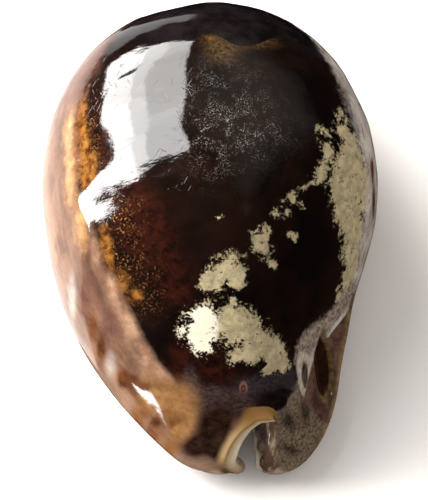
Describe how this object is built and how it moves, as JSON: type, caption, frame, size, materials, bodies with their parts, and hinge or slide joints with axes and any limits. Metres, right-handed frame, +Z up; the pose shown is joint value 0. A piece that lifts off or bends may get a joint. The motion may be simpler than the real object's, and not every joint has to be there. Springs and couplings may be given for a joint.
{
  "type": "cowrie shell",
  "caption": "Hollow domed sea shell with a glossy dark back, a flared front end and a long toothed slit underneath, resting on its two lips.",
  "frame": {"origin": "middle of the shell's box, at the level it rests on", "axes": "+Y from the front canal to the back canal, +Z up through the domed back, -X towards the outer lip"},
  "size_m": [0.0556, 0.0796, 0.0422],
  "materials": {
    "shell": "polished"
  },
  "bodies": {
    "root": {"shell": "shell"}
  },
  "joints": []
}
